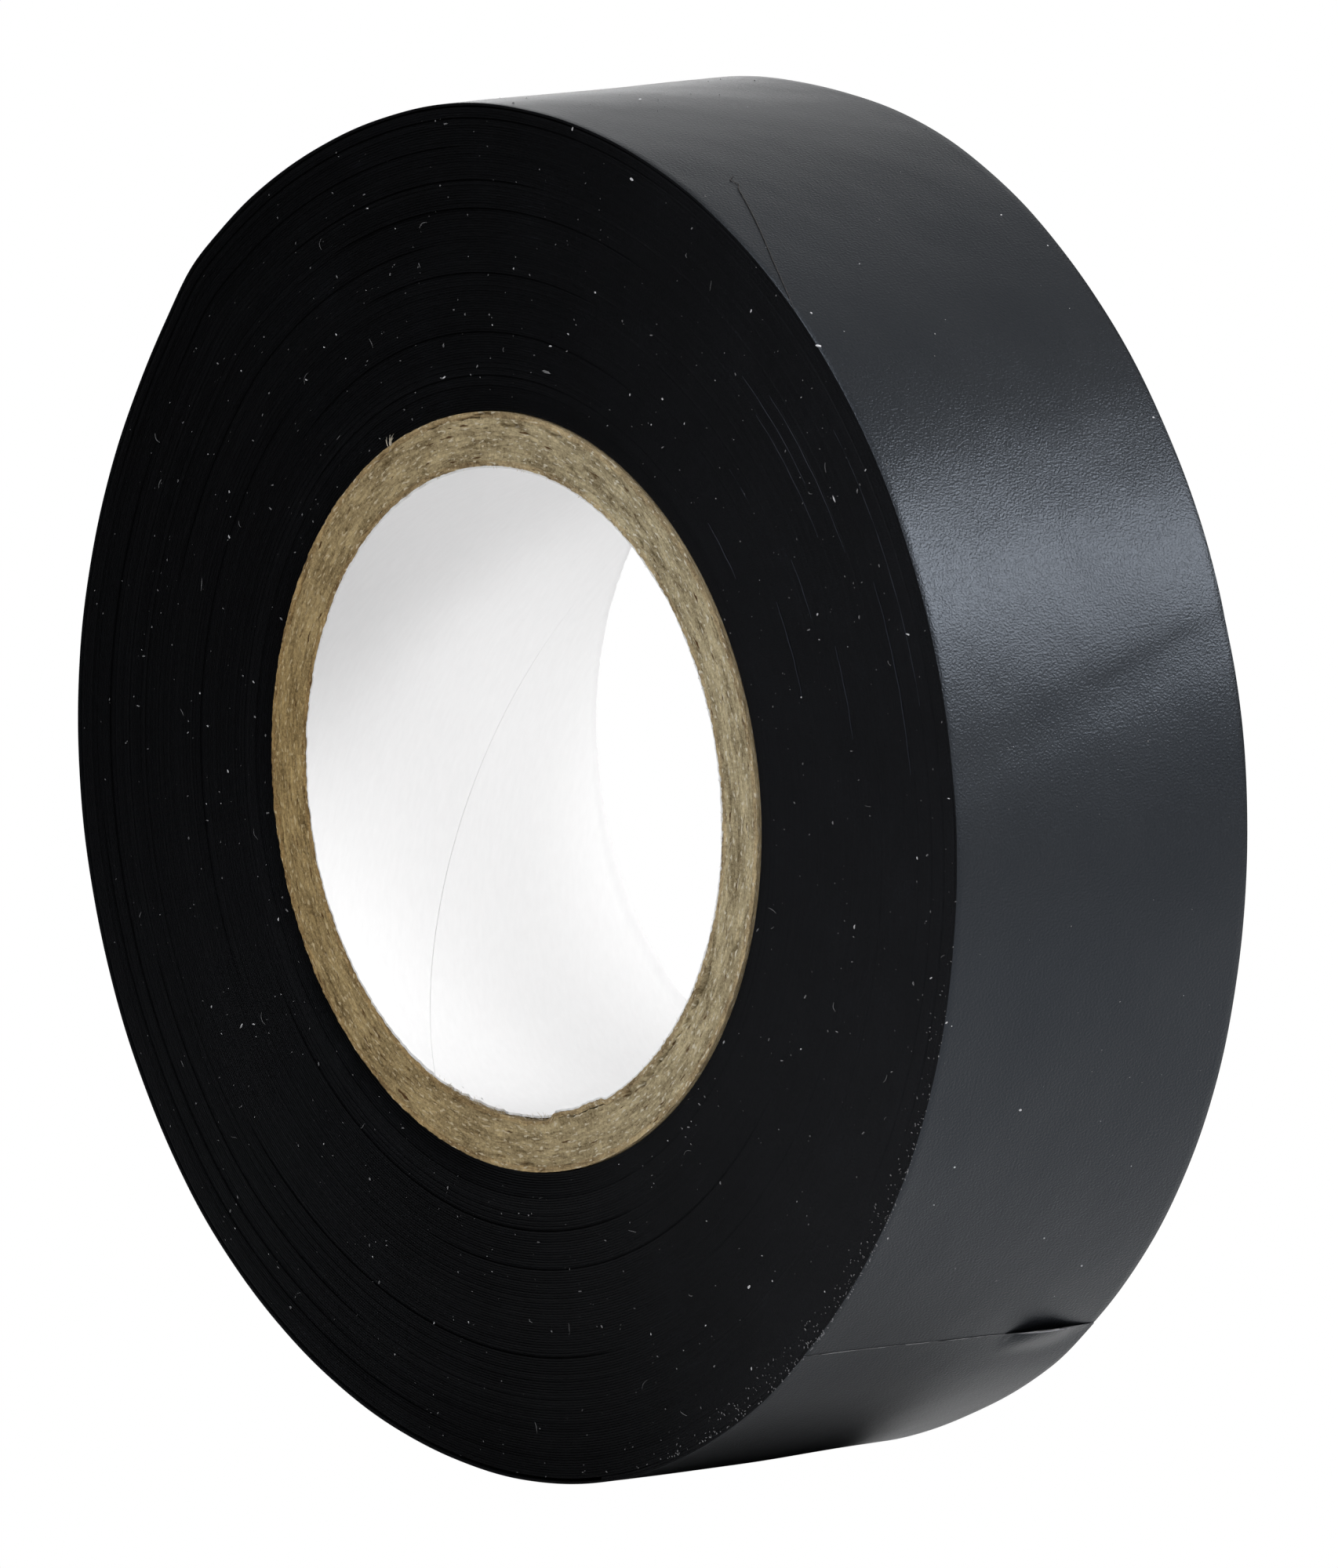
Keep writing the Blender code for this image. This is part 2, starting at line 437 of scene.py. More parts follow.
def ripple(angle, y):
    """Shallow valleys and slow undulation of the outermost turns, in mm."""
    total = 0.0
    for crossing, climb, width, depth, middle, spread in VALLEYS:
        off = wrap_angle(angle - crossing - climb * y)
        total = total - depth * hill(off, 0.0, width) * hill(y, middle, spread)
    turn = np.radians(angle)
    total = total + 0.010 * np.sin(9 * turn + 0.35 * y + 1.0) * np.cos(0.22 * y)
    total = total + 0.006 * np.sin(23 * turn - 0.5 * y + 2.0)
    return total + 0.004 * np.sin(41 * turn + 0.9 * y)


def pressed(radius, angle):
    """Flattens the outer turns a little where the roll stands on the floor."""
    below = wrap_angle(np.asarray(angle) + 90.0)
    floor = (AXIS_HEIGHT + FLOOR_DROP) / np.maximum(0.5, np.cos(np.radians(below)))
    depth = np.maximum(0.0, OUTER_RADIUS + 0.1 - floor)
    squeeze = ease(radius, OUTER_RADIUS - 6.0, OUTER_RADIUS)
    return radius - depth * squeeze


def tape_radius(travel, y, below=0.0):
    """Radius of the tape's outer surface after so many degrees of winding."""
    angle = END_ANGLE - travel
    radius = OUTER_RADIUS - LAYER_PITCH * travel / 360.0
    radius = radius + out_of_round(angle, y) + ripple(angle, y)
    return pressed(radius, angle) - below


def deeper(radius, angle, y):
    """The same out-of-round for a turn inside the roll, fading towards the core."""
    share = ease(radius, CORE_RADIUS, OUTER_RADIUS)
    return pressed(radius + out_of_round(angle, y) * share ** 2, angle)


# -------------------- outer turn and free end

EDGE_ROUND = 0.016


def strip_section(across, top, bottom):
    """Points round a strip's section: y, depth below the outer surface, and the distance
    round it. Starts at the front edge of the upper side."""
    half = HALF_WIDTH
    corner = min(EDGE_ROUND, (bottom - top) / 2)
    upper = np.linspace(-half + corner, half - corner, across)
    y = [-half, -half + corner * 0.3, *upper, half - corner * 0.3, half]
    depth = [corner, corner * 0.3, *np.zeros(across), corner * 0.3, corner]
    lower = np.linspace(half, -half, across // 4)
    y, depth = np.array([*y, *lower]), top + np.array([*depth, *np.full(len(lower), bottom - top)])
    distance = np.concatenate([[0], np.cumsum(np.hypot(np.diff(y), np.diff(depth)))])
    return y, depth, distance


def end_lift(travel, y):
    """Height of the small unstuck wrinkle at the far side of the free end, in mm."""
    rise = ease(y, 3.6, 5.5) * (1 - ease(y, 5.9, 9.0))
    return 0.42 * rise * (1 - ease(travel, 0.0, 4.0)) ** 1.3


def end_squash(travel, y):
    """How thin the film is pressed at its cut end, as a share of its thickness."""
    pressed_down = 1 - ease(end_lift(travel, y), 0.0, 0.30)
    return 1 - 0.84 * pressed_down * (1 - ease(travel, 0.0, 7.0))


def end_reach(travel, y):
    """How far round, in degrees, the wrinkle has pushed the film beyond the straight cut."""
    return math.degrees(1.45 / OUTER_RADIUS) * end_lift(travel, y)


def strip_piece(name, first, last, steps, across, look, top=0.0, bottom=TAPE_THICKNESS, free=False):
    """A length of tape between two amounts of winding. A free one thins and lifts towards
    its cut end."""
    share = np.linspace(0, 1, steps + 1)
    travel = (first + (last - first) * (share ** 1.5 if free and first == 0 else share))[:, None]
    y, depth, distance = strip_section(across, top, bottom)
    y, depth = y[None, :], depth[None, :]
    if free:
        below = TAPE_THICKNESS + (depth - TAPE_THICKNESS) * end_squash(travel, y)
        radius = tape_radius(travel, y, below) + end_lift(travel, y)
    else:
        radius = tape_radius(travel, y, depth)
    wander = 0.02 * np.sin(np.radians(travel) * 5.0) + 0.012 * np.sin(np.radians(travel) * 13.0 + 1.0)
    nick = 0.03 * np.sin(y * 2.3) + 0.02 * np.sin(y * 7.1 + 1.0)
    angle = END_ANGLE - travel
    if free:
        angle = angle - nick * (1 - ease(travel, 0.0, 0.8)) + end_reach(travel, y)
    points = place(radius, angle, y + wander)
    around = np.concatenate([distance, [distance[-1] + bottom - top]])
    uv = pairs(np.radians(travel[:, 0]) * OUTER_RADIUS, around)
    strip = swept_solid(name, points, look, uv, closed_along=False)
    strip.data.materials.append(edge_look)
    for face in strip.data.polygons:
        if abs(face.normal.y) > 0.6 and len(face.vertices) == 4:
            face.material_index = 1
    return strip


TURN_GAP = 0.2  # degrees by which the outermost turn stops short of its own start


def build_last_turn():
    """The outermost turn, on under the free end to where that end peels from."""
    turn = strip_piece("tape_last_turn", PEEL_TRAVEL, 360.0 + PEEL_TRAVEL - TURN_GAP, 720, 44, film_look)
    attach(turn, "roll")
    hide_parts("wound_tape")


def build_free_end():
    """The peeling end: short strips from the middle of one rigid length to the middle of
    the next, each spanning the joint between them."""
    half = STEP_ANGLE / 2
    film_depth = TAPE_THICKNESS - ADHESIVE_THICKNESS
    for n, hinge in enumerate(HINGES):
        travel = PEEL_TRAVEL - n * STEP_ANGLE
        far = travel if n == 0 else travel + half
        near = 0.0 if n == LENGTHS - 1 else travel - half
        steps = 44 if near == 0.0 else 22
        film = strip_piece(f"tape_end_{n + 1}", near, far, steps, 56, film_look, 0.0, film_depth, free=True)
        glue = strip_piece(f"tape_end_glue_{n + 1}", near, far, steps, 56, adhesive_look,
                           film_depth + 0.002, TAPE_THICKNESS, free=True)
        if near == 0.0:
            # The strip's two end faces are the only ones with more than four corners.
            # The cut end face takes the painted highlight.
            film.data.materials.append(cut_edge_glint_look)
            cut = min(film.data.polygons, key=lambda face: (len(face.vertices) <= 4,
                                                            abs(angle_of(face.center) - END_ANGLE)))
            cut.material_index = 2
        for piece, node, slot in ((film, "film", "pvc_film"), (glue, "adhesive", "adhesive")):
            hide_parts(f"tape_end_{node}_{n + 1}")
            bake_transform(piece)


# -------------------- edges of the wound turns

TURN_COUNT = 118
TURN_GROUPS = 3
FACE_STEPS = 360
CORE_GAP = 0.06  # between the core and the first turn
TURN_PITCH = (OUTER_RADIUS - LAYER_PITCH * 2.1 - CORE_RADIUS - CORE_GAP) / TURN_COUNT
EDGE_BURR = 0.045  # each slit edge slopes back outwards by this much

# Turns that stand back from their neighbours over part of a circle:
# (radius, first angle, last angle, depth).
GROOVES = [
    (34.1, 60, 165, 0.1), (33.2, -175, -95, 0.07), (31.0, 84, 128, 0.09), (29.6, 66, 122, 0.1),
    (30.3, 10, 48, 0.05), (27.9, 100, 168, 0.07), (26.3, 74, 118, 0.08), (25.1, 128, 215, 0.06),
    (23.4, 60, 140, 0.08), (22.3, -150, -60, 0.07), (21.2, 40, 150, 0.06), (20.3, -40, 80, 0.05),
    (32.3, 150, 250, 0.08), (28.7, -140, -70, 0.09), (30.9, -160, -110, 0.09), (26.9, -60, -5, 0.05),
    (33.0, -35, 28, 0.07), (31.9, -12, 40, 0.06), (24.2, -110, -30, 0.06), (29.0, -30, 15, 0.05),
    (33.9, -30, 50, 0.08), (27.3, 20, 60, 0.06), (25.7, 15, 70, 0.05), (32.7, 95, 150, 0.08),
]


def turn_offsets(side_seed):
    """How far each turn's edge stands out, in mm, for every turn and angle."""
    random = np.random.default_rng(side_seed)
    angles = np.linspace(-180, 180, FACE_STEPS, endpoint=False)
    radii = CORE_RADIUS + CORE_GAP + (np.arange(TURN_COUNT) + 0.5) * TURN_PITCH
    drift = np.convolve(random.normal(0, 1, TURN_COUNT + 12), np.ones(13) / 13, mode="valid")
    offsets = np.zeros((TURN_COUNT, FACE_STEPS))
    lean = np.zeros(FACE_STEPS)
    for turn in range(TURN_COUNT):
        if turn % 5 == 0:
            lean = 0.55 * lean + 0.45 * periodic_noise(FACE_STEPS, 7, random.integers(1e9), 0.6)
        wobble = periodic_noise(FACE_STEPS, 12, random.integers(1e9), 0.5)
        offsets[turn] = 0.045 * drift[turn] + 0.006 * random.normal() + 0.004 * lean + 0.003 * wobble
        offsets[turn] -= 0.22 * (1 - ease(radii[turn], CORE_RADIUS + 0.2, CORE_RADIUS + 1.5))
    notches = np.zeros((TURN_COUNT, FACE_STEPS))
    for radius, first, last, depth in GROOVES:
        nearest = int(np.argmin(np.abs(radii - radius)))
        middle, half = (first + last) / 2, (last - first) / 2
        off = np.abs(wrap_angle(angles - middle))
        notches[nearest] += depth * (1 - ease(off, half * 0.7, half))
    return angles, offsets, notches


def build_turns():
    """Closed rings of turns, with every turn's edge modelled on both faces."""
    angles, front, front_notches = turn_offsets(7)
    _, back, back_notches = turn_offsets(11)
    lean = np.random.default_rng(3).normal(0, 1, TURN_COUNT)
    bounds = np.linspace(0, TURN_COUNT, TURN_GROUPS + 1).astype(int)
    for group in range(TURN_GROUPS):
        turns = np.arange(bounds[group], bounds[group + 1])
        radius, front_y, back_y = [], [], []
        for turn in turns:
            inner = CORE_RADIUS + CORE_GAP + turn * TURN_PITCH
            for share in (0.06, 0.94):
                burr = EDGE_BURR * (0.5 - share) * (1.0 + 0.18 * lean[turn])
                notch = share > 0.5
                radius.append(inner + share * TURN_PITCH)
                front_y.append(-HALF_WIDTH - front[turn] - burr + notch * front_notches[turn])
                back_y.append(HALF_WIDTH + back[turn] + burr - notch * back_notches[turn])
        radius = np.array(radius)[None, :]
        front_y, back_y = np.array(front_y).T, np.array(back_y).T
        column = angles[:, None]
        front_points = place(deeper(radius, column, -HALF_WIDTH), column, front_y)
        back_points = place(deeper(radius, column, HALF_WIDTH), column, back_y)
        rows = np.concatenate([front_points, back_points[:, ::-1]], axis=1)
        walls = np.concatenate([radius[0], radius[0][::-1] + 60.0, [radius[0][0] + 120.0]])
        arc = np.radians(np.linspace(-180, 180, FACE_STEPS + 1)) * OUTER_RADIUS
        uv = pairs(arc, walls)
        obj = swept_solid(f"tape_turns_{group + 1}", rows, edge_look, uv, closed_along=True, sharp=50.0)
        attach(obj, "roll")
        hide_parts("wound_tape")


# -------------------- the paperboard core

CORE_STEPS = 1100
FIBRE_RELIEF = 0.022  # of the cut ends, in mm
SEAM_AT_FRONT, SEAM_CLIMB = -112.6, -5.5  # degrees, and degrees per mm of depth
TORN_FROM, TORN_TO = -108.0, -79.0  # where the liner's front edge is frayed back

# Splits between fibres in the front cut end: (radius, first angle, last angle, width, depth).
SPLITS = [
    (18.7, 88.9, 93.2, 0.04, 0.45), (19.06, 98.0, 103.5, 0.025, 0.3), (19.22, 95.5, 99.0, 0.022, 0.3),
    (19.05, 107.5, 111.0, 0.025, 0.3), (18.9, 78.0, 83.0, 0.022, 0.25), (19.15, 119.0, 125.0, 0.022, 0.25),
    (18.71, 122.2, 123.0, 0.05, 0.35), (17.81, 111.9, 112.8, 0.045, 0.3), (17.49, 85.6, 86.6, 0.04, 0.35),
    (17.6, 74.6, 76.0, 0.035, 0.3), (17.1, 53.0, 55.2, 0.035, 0.35), (17.35, 50.0, 51.4, 0.035, 0.35),
    (18.00, -155.5, -151.5, 0.035, 0.35), (18.95, -173.0, -166.0, 0.022, 0.3),
    (19.05, 150.0, 160.0, 0.02, 0.25), (17.38, -119.9, -118.8, 0.04, 0.3), (18.00, -99.8, -98.9, 0.04, 0.3),
    (18.95, -88.1, -85.6, 0.035, 0.4), (19.17, -84.4, -82.7, 0.035, 0.4), (18.8, -94.5, -92.0, 0.025, 0.3),
    (18.9, 31.0, 35.0, 0.022, 0.25), (17.9, 12.5, 14.5, 0.025, 0.25), (17.2, 3.0, 8.5, 0.03, 0.35),
    (18.55, -17.5, -15.0, 0.025, 0.25), (17.08, -30.6, -24.6, 0.055, 0.6),
    (17.1, -33.6, -31.6, 0.035, 0.45), (17.09, -37.0, -35.2, 0.025, 0.35),
    (17.03, -47.8, -38.5, 0.018, 0.35), (17.05, -51.6, -49.6, 0.04, 0.45),
    (17.08, -54.3, -52.8, 0.065, 0.55), (16.96, -58.7, -57.0, 0.06, 0.55),
]


def window(angle, first, last, soft=1.0):
    """1 between two angles, falling to 0 over a few degrees at each end."""
    return ease(angle, first - soft, first + soft) * (1 - ease(angle, last - soft, last + soft))


def near_front(y):
    """1 at the front of the core, falling to 0 at 5 mm behind it."""
    return 1 - ease(y, -HALF_WIDTH, -HALF_WIDTH + 5.0)


def loose_ply(angle, y):
    """How far the unstuck inner ply leans into the bore, in mm."""
    lean = 0.21 + 0.03 * np.sin(angle * 0.8) + 0.015 * np.sin(angle * 3.1)
    return window(angle, -79.2, -64.4, 0.7) * lean * near_front(y)


def crack_width(angle, y):
    """Width of the gap behind the unstuck ply: ragged, and shut in places."""
    ragged = 0.6 + 0.4 * np.sin(angle * 2.9 + 0.6) * np.sin(angle * 1.13 + 2.0) + 0.3 * np.sin(angle * 7.7)
    return 0.075 * window(angle, -77.0, -65.0, 1.0) * np.clip(ragged, 0.1, 1.3) * near_front(y)


def torn(angle):
    """1 where the liner's front edge is frayed back."""
    return window(angle, TORN_FROM, TORN_TO, 3.0)


def fibrous(random, rows, columns):
    """Relief of a cut paper end: fine fibre with some coarser tufts."""
    total = np.zeros((rows, columns))
    for passes, size in ((0, 0.55), (1, 0.8), (4, 0.55)):
        field = random.normal(0, 1, (rows, columns))
        for _ in range(passes):
            field = (np.roll(field, 1, 0) + 2 * field + np.roll(field, -1, 0)) / 4
            if columns > 4:
                padded = np.pad(field, ((0, 0), (1, 1)), mode="edge")
                field = (padded[:, :-2] + 2 * padded[:, 1:-1] + padded[:, 2:]) / 4
        total += size * field / field.std()
    return np.clip(total / total.std(), -2.4, 2.4)


FRONT_RADII = np.linspace(16.4, 19.5, 56)
FRONT_RELIEF = fibrous(np.random.default_rng(40), CORE_STEPS, len(FRONT_RADII))
BACK_RELIEF = fibrous(np.random.default_rng(41), CORE_STEPS, len(FRONT_RADII))


def relief_at(field, radius):
    """A relief shared by all the plies, so that no step shows between them."""
    return np.array([np.interp(row, FRONT_RADII, values) for row, values in zip(radius, field)])


def split_depth(radius, angle):
    """How deep the splits in the front cut end go, in mm."""
    depth = np.zeros(np.broadcast(radius, angle).shape)
    for middle, first, last, width, reach in SPLITS:
        ragged = 0.75 + 0.25 * np.sin(angle * 9.0 + middle * 40.0)
        path = middle + 0.03 * np.sin(angle * 1.7 + middle)
        depth += reach * hill(radius, path, 1.6 * width) * window(angle, first, last, 0.5) * ragged
    return depth


def ply_ring(node, inner, outer, look, columns, seed):
    """A ply of the core, with fibrous cut ends."""
    random = np.random.default_rng(seed)
    angle = np.linspace(-180, 180, CORE_STEPS, endpoint=False)[:, None]
    share = np.linspace(0, 1, columns)[None, :]
    radius = inner + (outer - inner) * share + np.zeros((CORE_STEPS, 1))

    def shifted(base, y):
        """The ply's radii at a depth, with the loose parts leaning into the bore."""
        if node == "core_inner_ply":
            notch = 0.15 * window(angle, -88.0, -80.2, 0.8) + 0.05 * window(angle, -96.0, -86.0, 3.0)
            bite = notch * (1 - ease(y, -HALF_WIDTH, -HALF_WIDTH + 0.5)) * (base < outer - 0.05)
            return base - loose_ply(angle, y) + bite
        if node == "core_board_ply_1":
            follow = np.maximum(0.0, loose_ply(angle, y) - crack_width(angle, y))
            return base - follow * (1 - (base - inner) / (outer - inner)) ** 1.5
        return base + np.zeros_like(angle)

    front = -HALF_WIDTH - 0.02 + FIBRE_RELIEF * relief_at(FRONT_RELIEF, radius) + split_depth(radius, angle)
    back = HALF_WIDTH - FIBRE_RELIEF * relief_at(BACK_RELIEF, radius)
    radius[:, 0] += 0.012 * fibrous(random, CORE_STEPS, 1)[:, 0]
    levels = np.array([-HALF_WIDTH + 0.25, -HALF_WIDTH + 1.0, -HALF_WIDTH + 2.5, -HALF_WIDTH + 5.0, 0.0,
                       HALF_WIDTH - 0.3])
    outside = [place(shifted(np.full_like(angle, outer), y), angle, y) for y in levels]
    inside = [place(shifted(np.full_like(angle, inner), y), angle, y) for y in levels[::-1]]
    rows = np.concatenate([place(shifted(radius, -HALF_WIDTH), angle, front), *outside,
                           place(radius[:, ::-1], angle, back), *inside], axis=1)
    # The cut ends share one pattern, laid out by radius; the walls have their own.
    lengthwise = np.concatenate([inner + (outer - inner) * share[0], outer + 1.0 + levels + HALF_WIDTH,
                                 60 + outer - (outer - inner) * share[0], 90 + levels, [120.0]])
    arc = np.radians(np.linspace(-180, 180, CORE_STEPS + 1)) * CORE_RADIUS
    uv = pairs(arc, lengthwise)
    ring = swept_solid(node + "_paper", rows, look, uv, closed_along=True, sharp=70.0)
    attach(ring, "roll")
    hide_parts(node)


def build_liner(outer):
    """White paper wound at an angle inside the core, with its butted, slightly lifted seam
    and the burr the slitting knife turned inwards at the far edge."""
    random = np.random.default_rng(5)
    levels = np.concatenate([[-HALF_WIDTH], np.linspace(-HALF_WIDTH + 0.12, 8.3, 34),
                             np.linspace(8.5, HALF_WIDTH - 0.1, 9), [HALF_WIDTH]])
    # The mesh follows the seam, so that its narrow groove stays crisp.
    turn = np.concatenate([[0.0, 0.14, 0.34, 0.50], np.linspace(1.2, 359.4, 720)])[:, None]
    angle = SEAM_AT_FRONT + SEAM_CLIMB * (levels + HALF_WIDTH) + turn
    lifted = 0.06 * np.exp(-(360.0 - turn) / 8.0) * (turn > 0.6) + 0.06 * (turn == 0.0)
    groove = 0.05 * ((turn > 0.0) & (turn < 0.4))
    around = wrap_angle(angle)
    y = np.broadcast_to(levels, angle.shape).copy()
    ragged = 0.02 * fibrous(random, len(turn), 2)
    frayed = torn(around[:, 0]) * (0.30 + 0.10 * fibrous(random, len(turn), 1)[:, 0])
    y[:, 0] += ragged[:, 0] + np.maximum(0.0, frayed)
    for column in range(1, 8):
        y[:, column] = np.maximum(y[:, column], y[:, column - 1] + 0.03)
    y[:, -1] += ragged[:, 1]
    slack = 0.02 * np.sin(np.radians(angle) * 3 + 0.2 * levels)
    lean = loose_ply(around, y)
    burr_width = 0.30 + 0.55 * window(around, -165.0, -112.0, 14.0)
    burr_height = 0.05 + 0.09 * window(around, -165.0, -112.0, 14.0)
    burr = burr_height * ease(y, HALF_WIDTH - burr_width, HALF_WIDTH) ** 1.5
    inside = place(BORE + 0.01 - lifted + groove + slack - lean - burr, angle, y)
    outside = place(np.maximum(outer - lean, BORE + 0.115 - lean), angle, y)
    rows = np.concatenate([inside, outside[:, ::-1]], axis=1)
    lengthwise = np.concatenate([levels, 40 - levels, [60.0]])
    arc = np.radians(np.append(turn[:, 0], 360.0)) * BORE
    uv = pairs(arc, lengthwise)
    paper = swept_solid("core_liner_paper", rows, paper_look, uv, closed_along=True, sharp=30.0)
    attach(paper, "roll")
    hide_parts("core_liner")


def build_core():
    """The plies from the bore outwards, each up against the one before it."""
    edge = (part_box("core_liner")[1].x - AXIS.x) / MM
    build_liner(edge)
    plies = [("core_inner_ply", kraft_look, "kraft_ply", 6)]
    plies += [(f"core_board_ply_{n}", board_look, "grey_board", 12) for n in (1, 2, 3, 4)]
    plies += [("core_outer_ply", kraft_look, "kraft_ply", 8)]
    for seed, (node, look, slot, columns) in enumerate(plies, start=42):
        inner, edge = edge, (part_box(node)[1].x - AXIS.x) / MM
        ply_ring(node, inner, edge, look, columns, seed)


# -------------------- dust, lint and the hair

# Specks seen on the front face: (radius, angle, length, width, grey), sizes in mm.
FACE_SPECKS = [
    (21.9, 83.0, 0.75, 0.16, 0.3), (33.6, 73.7, 0.3, 0.16, 0.75), (34.0, 99.0, 0.35, 0.1, 0.35),
    (29.7, -51.0, 0.3, 0.16, 0.6), (33.7, -122.0, 0.2, 0.16, 0.4), (30.9, 35.0, 0.45, 0.09, 0.75),
    (27.2, -8.0, 0.25, 0.09, 0.55), (22.7, -27.0, 0.22, 0.08, 0.35), (19.9, -33.0, 0.22, 0.12, 0.8),
    (27.0, 76.0, 0.14, 0.12, 0.55), (24.6, 101.0, 0.16, 0.1, 0.45), (24.4, 61.0, 0.18, 0.12, 0.6),
    (31.6, 112.0, 0.25, 0.07, 0.3), (25.5, -78.0, 0.3, 0.07, 0.35), (22.9, -85.0, 0.25, 0.07, 0.45),
]

# The same on the rim: (angle, y, length, width, grey).
RIM_SPECKS = [
    (46.5, -9.45, 0.42, 0.17, 0.85), (-13.0, -9.4, 0.2, 0.12, 0.6), (156.0, -9.4, 0.2, 0.14, 0.6),
    (-34.0, -8.9, 0.14, 0.12, 0.65), (50.0, -8.6, 0.16, 0.12, 0.55), (-22.0, -3.2, 0.2, 0.14, 0.7),
    (88.0, -2.2, 0.25, 0.14, 0.6), (-27.0, -6.4, 0.14, 0.1, 0.55), (36.0, 9.0, 0.16, 0.14, 0.55),
    (-36.0, 1.8, 0.1, 0.1, 0.55), (-40.0, 5.5, 0.12, 0.12, 0.6), (-24.0, 2.4, 0.1, 0.08, 0.5),
]

# The hair on the rim: angle and y along it.
HAIR = [(68.4, -5.7), (67.8, -6.25), (67.0, -6.0), (66.4, -6.35), (63.6, -6.95), (60.5, -7.6), (56.5, -8.50),
        (53.1, -9.10), (50.6, -9.50)]

FACE_DUST, EDGE_DUST, RIM_DUST = 900, 420, 260
LINT, TORN_FIBRES, BORE_FIBRES, TUFT_FIBRES = 40, 70, 90, 14

# Raised burrs left on the slit edges, placed where the face shines and coloured a lighter blue-grey as a
# painted glint: (radius, first angle, last angle).
BURRS = [
    (30.2, 30.0, 48.0), (28.7, 33.0, 48.0), (25.1, 41.0, 47.0), (21.8, 36.0, 45.0), (31.6, 8.0, 26.0),
    (33.0, 14.0, 40.0), (27.4, 12.0, 22.0), (26.2, 26.0, 33.0), (24.0, 18.0, 30.0), (29.4, 38.0, 52.0),
]


def icosahedron():
    """Points and faces of a unit icosahedron."""
    golden = (1 + 5 ** 0.5) / 2
    points = np.array([(-1, golden, 0), (1, golden, 0), (-1, -golden, 0), (1, -golden, 0),
                       (0, -1, golden), (0, 1, golden), (0, -1, -golden), (0, 1, -golden),
                       (golden, 0, -1), (golden, 0, 1), (-golden, 0, -1), (-golden, 0, 1)], float)
    faces = [(0, 11, 5), (0, 5, 1), (0, 1, 7), (0, 7, 10), (0, 10, 11), (1, 5, 9), (5, 11, 4), (11, 10, 2),
             (10, 7, 6), (7, 1, 8), (3, 9, 4), (3, 4, 2), (3, 2, 6), (3, 6, 8), (3, 8, 9), (4, 9, 5),
             (2, 4, 11), (6, 2, 10), (8, 6, 7), (9, 8, 1)]
    return points / np.linalg.norm(points[0]), faces


def surface_frame(outward, spin):
    """Three directions at a point: two in the surface, turned by spin, and one outwards."""
    outward = outward / np.linalg.norm(outward)
    side = np.cross(outward, [0.0, 0.0, 1.0] if abs(outward[2]) < 0.9 else [1.0, 0.0, 0.0])
    side /= np.linalg.norm(side)
    ahead = np.cross(outward, side)
    first = side * math.cos(spin) + ahead * math.sin(spin)
    second = ahead * math.cos(spin) - side * math.sin(spin)
    return first, second, outward


def speck_cloud(name, specks, look, seed):
    """Small crumbs. Each is a centre, an outward direction, a length, a width and a spin."""
    random = np.random.default_rng(seed)
    shape, triangles = icosahedron()
    points, faces = [], []
    for centre, outward, length, width, spin in specks:
        first, second, third = surface_frame(outward, spin)
        lumps = shape * random.uniform(0.7, 1.2, (len(shape), 1))
        local = lumps * np.array([length / 2, width / 2, min(width, 0.10) / 2]) * MM
        start = len(points) * len(shape)
        points.append(centre + local @ np.array([first, second, third]))
        faces += [tuple(start + i for i in face) for face in triangles]
    crumbs = new_object(name, np.array(points), faces, look)
    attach(crumbs, "roll")


def face_point(radius, angle):
    """A place just off the front face, and its outward direction."""
    return place(radius, angle, -HALF_WIDTH - 0.02), np.array([0.0, -1.0, 0.0])


def rim_point(angle, y, off=0.01):
    """A place just off the rim, and its outward direction."""
    travel = (END_ANGLE - angle) % 360.0
    centre = place(tape_radius(travel, y) + off, angle, y)
    return centre, np.array([math.cos(math.radians(angle)), 0.0, math.sin(math.radians(angle))])


def build_dust():
    """The listed specks, and finer dust at random places."""
    random = np.random.default_rng(31)
    pale, dim = [], []
    for radius, angle, length, width, grey in FACE_SPECKS:
        speck = (*face_point(radius, angle), length, width, math.radians(angle + 90))
        (pale if grey > 0.5 else dim).append(speck)
    for angle, y, length, width, grey in RIM_SPECKS:
        speck = (*rim_point(angle, y), length, width, random.uniform(0, math.pi))
        (pale if grey > 0.5 else dim).append(speck)
    for _ in range(FACE_DUST):
        radius = random.uniform(CORE_RADIUS + 0.4, OUTER_RADIUS - 0.3)
        size = 0.03 + 0.07 * random.random() ** 4
        speck = (*face_point(radius, random.uniform(-180, 180)), size * random.uniform(1, 3.2), size,
                 random.uniform(0, math.pi))
        (pale if random.random() < 0.2 else dim).append(speck)
    for _ in range(EDGE_DUST):
        radius = OUTER_RADIUS - 0.12 - 1.3 * random.random() ** 2.5
        size = random.uniform(0.03, 0.075)
        dim.append((*face_point(radius, random.normal(-42, 16)), size * random.uniform(1, 2.5), size,
                    random.uniform(0, math.pi)))
    for _ in range(RIM_DUST):
        angle = END_ANGLE + 4 + random.uniform(0, 320.0)
        size = 0.035 + 0.06 * random.random() ** 3
        speck = (*rim_point(float(wrap_angle(angle)), random.uniform(-9.3, 9.3)),
                 size * random.uniform(1, 2.0), size, random.uniform(0, math.pi))
        (pale if random.random() < 0.2 else dim).append(speck)
    speck_cloud("dust_pale", pale, dust_looks[1], 51)
    speck_cloud("dust_dim", dim, dust_looks[0], 52)


